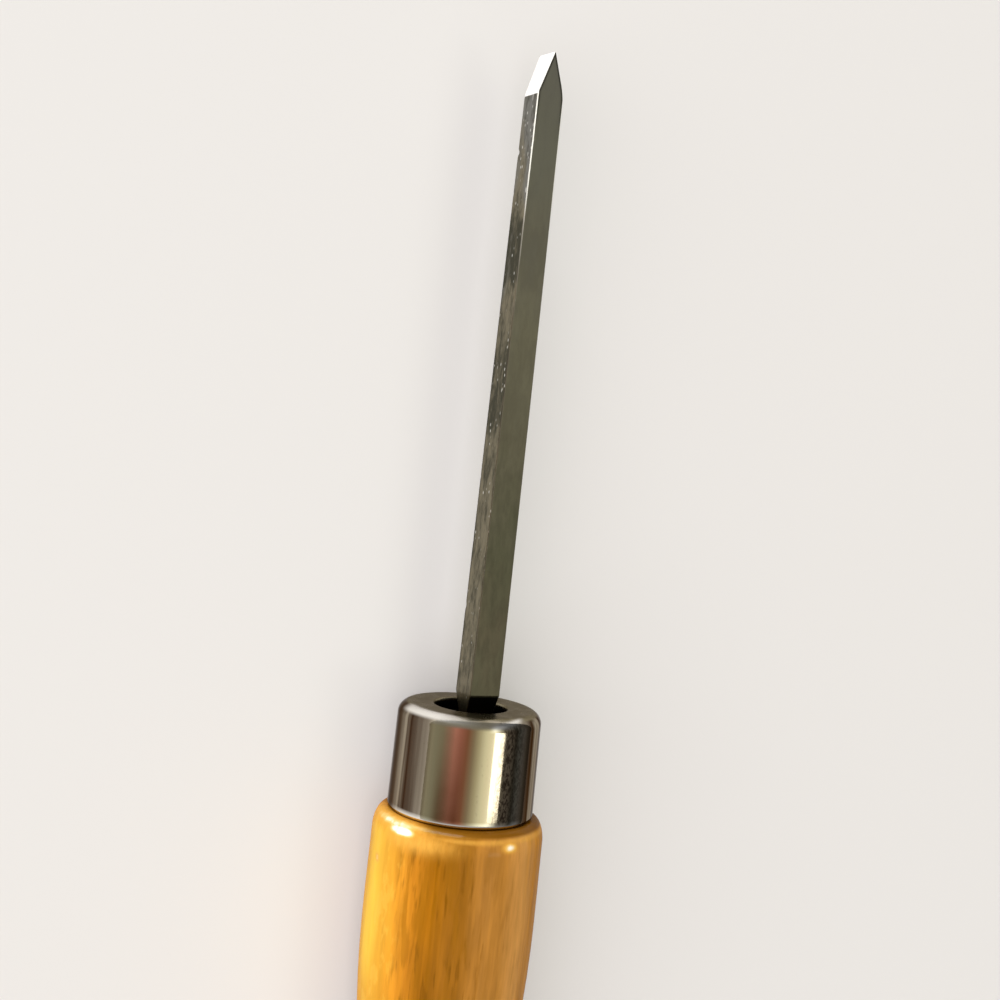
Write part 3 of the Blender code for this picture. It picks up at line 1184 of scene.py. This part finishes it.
    def edge_dull_and_highlight(self, turn: Array, around: Array) -> tuple[Array, Array]:
        """How far the rounded front edge is dull, with a painted dark reflection in places, and how far it
        is painted bright as a highlight.

        The streak is a bell over the edge that climbs as it goes to the left. The other places are
        products of smooth steps over the edge and round the axis.

        Args:
            turn: turn over the edge in degrees.
            around: angle about the axis in degrees.

        Returns:
            Arrays of shares from 0 to 1.
        """
        reach = self.dull_turn[0] + self.dull_turn[1] * smooth(around, *self.dark_reflection_right)
        front = smooth(turn, reach + self.dull_fade, reach - self.dull_fade)
        # Painted dark reflection on the upper left, then the painted highlights on the left and the top.
        faint = smooth(turn, *self.dark_reflection_turn) * hump(around, *self.dark_reflection_around)
        highlight_patch = hump(turn, *self.highlight_patch_turn) * hump(around, *self.highlight_patch_around)
        middle, climb, width = self.highlight_streak_turn
        away = (turn - middle - climb * around) / width
        streak = np.exp(-(away**2)) * hump(around, *self.highlight_streak_around)
        return np.maximum(front, self.dark_reflection_share * faint), np.maximum(highlight_patch, streak)

    def dress(self, piece: bpy.types.Object) -> None:
        """Finish the ferrule in nickel plating."""
        finish = NickelFinish(axis_height=self.axis.height)
        dress(piece, finish.material(), Solid.FERRULE)


@dataclass
class Handle:
    """Turned handle: spigot, shoulder, two swells with a waist between, domed butt. Millimetres.

    Attributes:
        axis: the tool's axis.
        blade: the blade, whose tang sits in the handle's socket.
        ferrule: the ferrule that the spigot fills.
        gap: room left round the tang.
        shoulder_gap: room left behind the ferrule.
        spigot_radius: radius of the spigot.
        spigot_chamfer: chamfer at the spigot's front.
        shoulder_radii: radius at the shoulder's front and where its rounding ends.
        shoulder_length: length of that rounding.
        front_swell: station of the front swell.
        waist: station and radius of the waist.
        rear_swell: station of the rear swell.
        butt_fullness: power that shapes the butt.
        waviness: height of the faint waves that turning and sanding left.
        wave_lengths: least and greatest length of the waves.
        wave_margin: distance outside the spigot's radius where the waves start, and are full.
        highlight_places: share, station, length, angle and reach in degrees of each painted highlight: a
            pale zone behind the shoulder, pale lines round its front, and glints.
        painted_shade_share: depth of the painted shade on the shoulder by the joint.
        painted_shade_reach: how far behind the ferrule the painted shade goes.
        painted_shade_side: angle in degrees, from up to -Y, of the painted shade's middle.
        painted_shade_fade: cosine of the angle from that middle where the painted shade is full.
    """

    axis: ToolAxis
    blade: Blade
    ferrule: Ferrule
    gap: float = 0.3
    shoulder_gap: float = 0.04
    spigot_radius: float = 12.0
    spigot_chamfer: float = 1.0
    shoulder_radii: Pair = (13.95, 16.15)
    shoulder_length: float = 4.2
    front_swell: float = -40.0
    waist: Pair = (-100.0, 12.6)
    rear_swell: float = -178.0
    butt_fullness: float = 2.8
    waviness: float = 0.035
    wave_lengths: Pair = (14.0, 40.0)
    wave_margin: Pair = (0.5, 2.0)
    # Painted highlights on the varnish.
    highlight_places: tuple[tuple[float, float, float, float, float], ...] = (
        (0.44, -22.8, 2.2, 54.0, 30.0),
        (0.30, -21.6, 0.60, 28.0, 400.0),
        (0.86, -20.8, 0.80, 78.0, 34.0),
        (0.70, -20.6, 0.45, 48.0, 38.0),
        (1.50, -21.7, 0.80, 67.0, 11.0),
        (0.95, -22.6, 0.85, -11.0, 5.5),
        (0.80, -28.2, 0.80, 88.0, 3.0),
    )
    painted_shade_share: float = 0.9
    painted_shade_reach: float = 1.3
    painted_shade_side: float = 30.0
    painted_shade_fade: float = 0.34

    around = 224
    wave_turns = (2, 5, 9, 14, 19)
    wave_seed = 5
    least_ray = 1e-9

    def __post_init__(self) -> None:
        """Read the handle's ends and its swell from the frame."""
        low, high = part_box(Solid.HANDLE.value)
        self.end = self.axis.station(low.x)
        self.spigot_front = self.axis.station(high.x)
        self.swell_radius = (self.axis.height - low.z) / MM

    def butt(self, steps: int) -> Array:
        """Dome: swell radius * sqrt(1 - share ** fullness), share the sine of an even angle.

        Args:
            steps: number of points.

        Returns:
            Array (steps, 2) from the butt's end to the rear swell, the swell left out.
        """
        share = np.sin(np.linspace(np.pi / 2, 0.0, steps, endpoint=False))
        radius = self.swell_radius * np.sqrt(np.maximum(0.0, 1 - share**self.butt_fullness))
        return np.stack([self.rear_swell + (self.end - self.rear_swell) * share, radius], axis=1)

    def profile(self) -> Array:
        """The outline from the butt's end to the spigot's front.

        Returns:
            Array (points, 2) of station and radius.
        """
        swell, spigot = self.swell_radius, self.spigot_radius
        shoulder = self.ferrule.rear - self.shoulder_gap
        back = shoulder - self.shoulder_length
        small, large = self.shoulder_radii
        chamfered = self.spigot_front - self.spigot_chamfer
        return np.concatenate([
            self.butt(56),
            ease((self.rear_swell, swell), self.waist, 70),
            ease(self.waist, (self.front_swell, swell), 60),
            ease((self.front_swell, swell), (back, large), 26),
            arc((back, small), (self.shoulder_length, large - small), (90, 0), 22),
            line((shoulder, small), (shoulder, spigot), 4),
            line((shoulder, spigot), (chamfered, spigot), 10),
            line((chamfered, spigot), (self.spigot_front, spigot - self.spigot_chamfer), 3),
        ])

    def waves(self, points: Array) -> Array:
        """Faint waves: a sum of sines of whole turns round the axis and of length along it.

        Args:
            points: turned points in millimetres about the axis.

        Returns:
            The points with their distance from the axis changed a little.
        """
        chance = np.random.default_rng(self.wave_seed)
        angle = np.arctan2(points[..., 1], points[..., 2])
        height = np.zeros(angle.shape)
        for turns in self.wave_turns:
            length = chance.uniform(*self.wave_lengths)
            phase = chance.uniform(0, 2 * np.pi, size=2)
            along = np.sin(2 * np.pi * points[..., 0] / length + phase[0])
            height += np.sin(turns * angle + phase[1]) * along / math.sqrt(turns)
        distance = np.hypot(points[..., 1], points[..., 2])
        start, full = self.wave_margin
        fade = np.clip((distance - self.spigot_radius - start) / (full - start), 0.0, 1.0)
        sunk = (height - np.abs(height).max()) * self.waviness * fade
        scale = 1 + sunk / np.maximum(distance, self.waviness)
        return points * np.stack([np.ones(angle.shape), scale, scale], axis=-1)

    def socket(self) -> Array:
        """The tang's socket: the tang's rectangle plus the gap, from the front face to its end.

        A ring's point at each angle lies where a ray from the centre meets the rectangle.

        Returns:
            Array (rings, points round, 3) in millimetres about the axis.
        """
        angle = np.linspace(0.0, 2 * np.pi, self.around, endpoint=False)
        bottom = self.blade.tang_end - self.gap
        station = np.concatenate([np.linspace(self.spigot_front, bottom, 12), [bottom]])
        half_y, half_z = (half[:, None] + self.gap for half in self.blade.half_sizes(station))
        ray_y, ray_z = (np.abs(ray) + self.least_ray for ray in (np.sin(angle), np.cos(angle)))
        distance = np.minimum(half_y / ray_y, half_z / ray_z)
        distance[-1] = 0.0
        x = np.repeat(station[:, None], self.around, axis=1)
        y, z = self.blade.centre(x)
        return np.stack([x, y + distance * np.sin(angle), z + distance * np.cos(angle)], axis=-1)

    def build(self) -> bpy.types.Object:
        """Turn the outline, wave it faintly and fold it in through the socket.

        Returns:
            The handle.
        """
        outside = self.waves(turned(self.profile(), self.around))
        points = np.concatenate([outside, self.socket()])
        inside = points[..., 0] > self.ferrule.rear
        inside[len(outside):] = True
        # Painted shade in the joint and beside it; painted highlights on the varnish.
        marks = {Mark.INSIDE_SHADE: np.maximum(inside, self.painted_shade(points)), Mark.PAINTED_HIGHLIGHT: self.rubbed(points)}
        return RingStack("chisel_handle", self.axis.place(points), Ends.DRAWN, marks, sharp=38.0).piece()

    def rubbed(self, points: Array) -> Array:
        """How far the varnish is painted pale as highlights: the largest of a few bells along X and round
        the axis.

        Args:
            points: points in millimetres about the axis.

        Returns:
            Array of shares from 0 to 1.
        """
        around = roll_angle(points)
        lightened = np.zeros(around.shape)
        for share, station, length, angle, reach in self.highlight_places:
            away = ((points[..., 0] - station) / length) ** 2 + ((around - angle) / reach) ** 2
            lightened = np.maximum(lightened, share * np.exp(-away))
        return np.minimum(lightened, 1.0)

    def painted_shade(self, points: Array) -> Array:
        """How far painted shade darkens the shoulder by the joint: a smooth step along X and one round the
        axis.

        Args:
            points: points in millimetres about the axis.

        Returns:
            Array of shares from 0 to 1.
        """
        behind = self.ferrule.rear - points[..., 0]
        from_middle = np.radians(roll_angle(points) + self.painted_shade_side)
        side = smooth(np.cos(from_middle), 0.0, self.painted_shade_fade)
        return self.painted_shade_share * smooth(behind, self.painted_shade_reach, self.painted_shade_reach / 2) * side

    def dress(self, piece: bpy.types.Object) -> None:
        """Finish the handle in varnished wood."""
        dress(piece, VarnishedWoodFinish(radius=self.swell_radius).material(), Solid.HANDLE)


@dataclass(frozen=True)
class Softbox:
    """Rectangular soft light that faces the tool.

    Attributes:
        name: name of the lamp.
        roll: its angle about the tool's axis.
        lean: its direction along the axis, in degrees from square to it towards +X.
        width: angle that it spans about the axis, in degrees.
        length: angle that it spans along the axis, in degrees.
        radiance: brightness of its surface, where 1 shows as white.
        colour: its tint.
        distance: how far it stands from the tool, in metres.
        flagged: names of the pieces that a flag keeps its light off.
        polarised: whether a filter takes its glare out of all reflections.
    """

    name: str
    roll: float
    lean: float
    width: float
    length: float
    radiance: float
    colour: Colour = (1.0, 1.0, 1.0)
    distance: float = 1.6
    flagged: tuple[str, ...] = ()
    polarised: bool = False

    def light(self, target: Vector) -> None:
        """Hang the lamp. Its power is pi times its area times its radiance.

        Args:
            target: the point that it faces.
        """
        roll, lean = math.radians(self.roll), math.radians(self.lean)
        towards = Vector((math.sin(lean), math.cos(lean) * math.sin(roll), math.cos(lean) * math.cos(roll)))
        about = Vector((0.0, math.cos(roll), -math.sin(roll)))
        lamp = bpy.data.lights.new(self.name, "AREA")
        lamp.shape = "RECTANGLE"
        lamp.size = 2 * self.distance * math.tan(math.radians(self.width) / 2)
        lamp.size_y = 2 * self.distance * math.tan(math.radians(self.length) / 2)
        lamp.energy = math.pi * lamp.size * lamp.size_y * self.radiance
        lamp.color = self.colour
        holder = placed(self.name, lamp)
        holder.visible_glossy = not self.polarised
        turn = Matrix((about, towards.cross(about), towards)).transposed().to_4x4()
        holder.matrix_world = Matrix.Translation(target + towards * self.distance) @ turn
        if self.flagged:
            self.flag(holder)

    def flag(self, holder: bpy.types.Object) -> None:
        """Keep the lamp's light off the flagged pieces.

        Args:
            holder: the lamp's object.
        """
        shaded = bpy.data.collections.new(self.name + "_flag")
        for name in self.flagged:
            shaded.objects.link(bpy.data.objects[name])
        for entry in shaded.collection_objects:
            entry.light_linking.link_state = "EXCLUDE"
        holder.light_linking.receiver_collection = shaded


@dataclass(frozen=True)
class Room:
    """Room round the table, dim on the right, with a band of tones square to the tool's axis.

    Attributes:
        plain: angle about the tool's axis, and the room's brightness there.
        tones: the same as plain, for the band.
        band: lean in degrees at which the band starts, is full on both sides, and ends.
        ends: the room's brightness ahead of the tool and behind it.
        ends_from: square of a direction's X at which the ends' brightness starts, and is full.
        curtain: angles at which the red tones start, are full on both sides, and end.
        curtain_fall: lean in degrees at which the red tones start to darken, and are darkest.
        curtain_dark: how far they turn into the foot's colour.
        curtain_foot: the dark colour that they turn into.
    """

    plain: Colours = (
        (-110, (0.10, 0.10, 0.10)), (-55, (0.12, 0.12, 0.12)), (-10, (0.40, 0.40, 0.40)),
        (60, (0.50, 0.50, 0.50)), (110, (0.50, 0.50, 0.50)),
    )
    tones: Colours = (
        (-95, (0.13, 0.12, 0.10)), (-84, (0.13, 0.12, 0.10)), (-75, (0.15, 0.145, 0.145)),
        (-66, (0.10, 0.105, 0.105)), (-57, (0.04, 0.037, 0.030)), (-48, (0.13, 0.115, 0.10)),
        (-38, (0.14, 0.125, 0.105)), (-33, (0.24, 0.22, 0.18)), (-17, (1.70, 1.66, 1.30)),
        (-11, (1.45, 1.40, 1.02)), (-3, (1.20, 1.18, 0.85)), (7, (0.72, 0.67, 0.45)),
        (16, (0.40, 0.32, 0.21)), (26, (0.36, 0.155, 0.09)), (36, (0.54, 0.215, 0.16)),
        (45, (0.72, 0.32, 0.255)), (55, (0.46, 0.28, 0.21)), (65, (0.35, 0.315, 0.225)),
        (76, (0.37, 0.36, 0.265)), (87, (0.44, 0.41, 0.305)),
    )
    band: Hump = (-23.0, -17.0, 2.0, 42.0)
    ends: Colour = (0.35, 0.35, 0.35)
    ends_from: Pair = (0.6, 0.9)
    curtain: Hump = (22.0, 36.0, 60.0, 78.0)
    curtain_fall: Pair = (-10.7, -14.3)
    curtain_dark: float = 0.7
    curtain_foot: Colour = (0.09, 0.03, 0.0)

    def hang(self) -> None:
        """Set the world: the plain tones by roll, the ends' tone over them, and the band's over both."""
        world = bpy.data.worlds.new("studio_room")
        world.use_nodes = True
        graph = NodeGraph(world.node_tree)
        x, y, z = graph.split("Generated")
        roll = graph.roll(y, z)
        plain, tone = (graph.ramp(roll, by_turn(stops)) for stops in (self.plain, self.tones))
        plain = graph.mix(graph.fit(graph.times(x, x), *self.ends_from), plain, self.ends)
        red = graph.hump(roll, *map(turn_share, self.curtain))
        upper, lower = (math.sin(math.radians(lean)) for lean in self.curtain_fall)
        fallen = graph.fit(x, lower, upper, self.curtain_dark, 0.0)
        tone = graph.mix(graph.times(red, fallen), tone, self.curtain_foot)
        within = graph.hump(x, *(math.sin(math.radians(lean)) for lean in self.band))
        background = graph.tree.nodes["Background"]
        graph.feed(background.inputs["Color"], graph.mix(within, plain, tone))
        bpy.context.scene.world = world


@dataclass
class Studio:
    """Table, lamps, room and camera.

    Attributes:
        axis: the tool's axis.
        table_side: side of the square table, in metres.
        table_drop: room between the tool and the table, in metres.
        camera_offset: camera's place from the ferrule's front centre, in millimetres.
        camera_turn: rotation vector that turns a camera looking straight down, +X up, in radians.
        frame_width: width of the camera's frame, in millimetres.
        lens: focal length for that frame, in millimetres.
        nearest: distance at which the view begins, in metres.
        softboxes: the lamps.
    """

    axis: ToolAxis
    table_side: float = 8.0
    table_drop: float = 0.0001
    camera_offset: Triple = (53.48, 123.916, 241.837)
    camera_turn: Triple = (-0.475, 0.0782, 0.0921)
    frame_width: float = 36.0
    lens: float = 52.63
    nearest: float = 0.01
    softboxes: tuple[Softbox, ...] = (
        Softbox(
            "front_light", roll=58, lean=65, width=40, length=20, radiance=10.0,
            distance=3.0, flagged=("chisel_ferrule",),
        ),
        Softbox(
            "window_light", roll=-25.5, lean=-9.3, width=17, length=10.5, radiance=3.0,
            colour=(1.0, 0.98, 0.88),
        ),
        Softbox(
            "side_light", roll=45, lean=-10, width=70, length=50, radiance=2.35,
            distance=3.0, polarised=True,
        ),
    )

    def camera(self) -> None:
        """Stand the camera where the photograph was taken."""
        view = bpy.data.cameras.new("photo_view")
        view.lens = self.lens
        view.sensor_width = self.frame_width
        view.clip_start = self.nearest
        holder = placed("photo_view", view)
        vector = Vector(self.camera_turn)
        turn = Matrix.Rotation(vector.length, 4, vector.normalized())
        place = self.axis.centre + Vector(self.camera_offset) * MM
        holder.matrix_world = Matrix.Translation(place) @ turn @ Matrix.Rotation(-math.pi / 2, 4, "Z")
        bpy.context.scene.camera = holder

    def table(self) -> None:
        """Lay the pale table just under the tool."""
        half = self.table_side / 2
        corners = [(-half, -half), (half, -half), (half, half), (-half, half)]
        mesh = bpy.data.meshes.new("pale_table")
        mesh.from_pydata([(x, y, -self.table_drop) for x, y in corners], [], [(0, 1, 2, 3)])
        mesh.materials.append(TableFinish().material())
        table = placed("pale_table", mesh)

    def set_up(self) -> None:
        """Set up the whole studio."""
        bpy.context.scene.view_settings.view_transform = "Standard"
        self.camera()
        self.table()
        Room().hang()
        for softbox in self.softboxes:
            softbox.light(self.axis.centre)


def main() -> None:
    """Build the tool's pieces in order, then the studio round them."""
    logging.basicConfig(level=logging.INFO, format="%(name)s: %(message)s")
    axis = ToolAxis.from_frame()
    blade = Blade(axis)
    ferrule = Ferrule(axis)
    for part in (blade, ferrule, Handle(axis, blade, ferrule)):
        piece = part.build()
        part.dress(piece)
        LOG.info("%s: %d faces", piece.name, len(piece.data.polygons))
    Studio(axis).set_up()


if __name__ == "__main__":
    main()
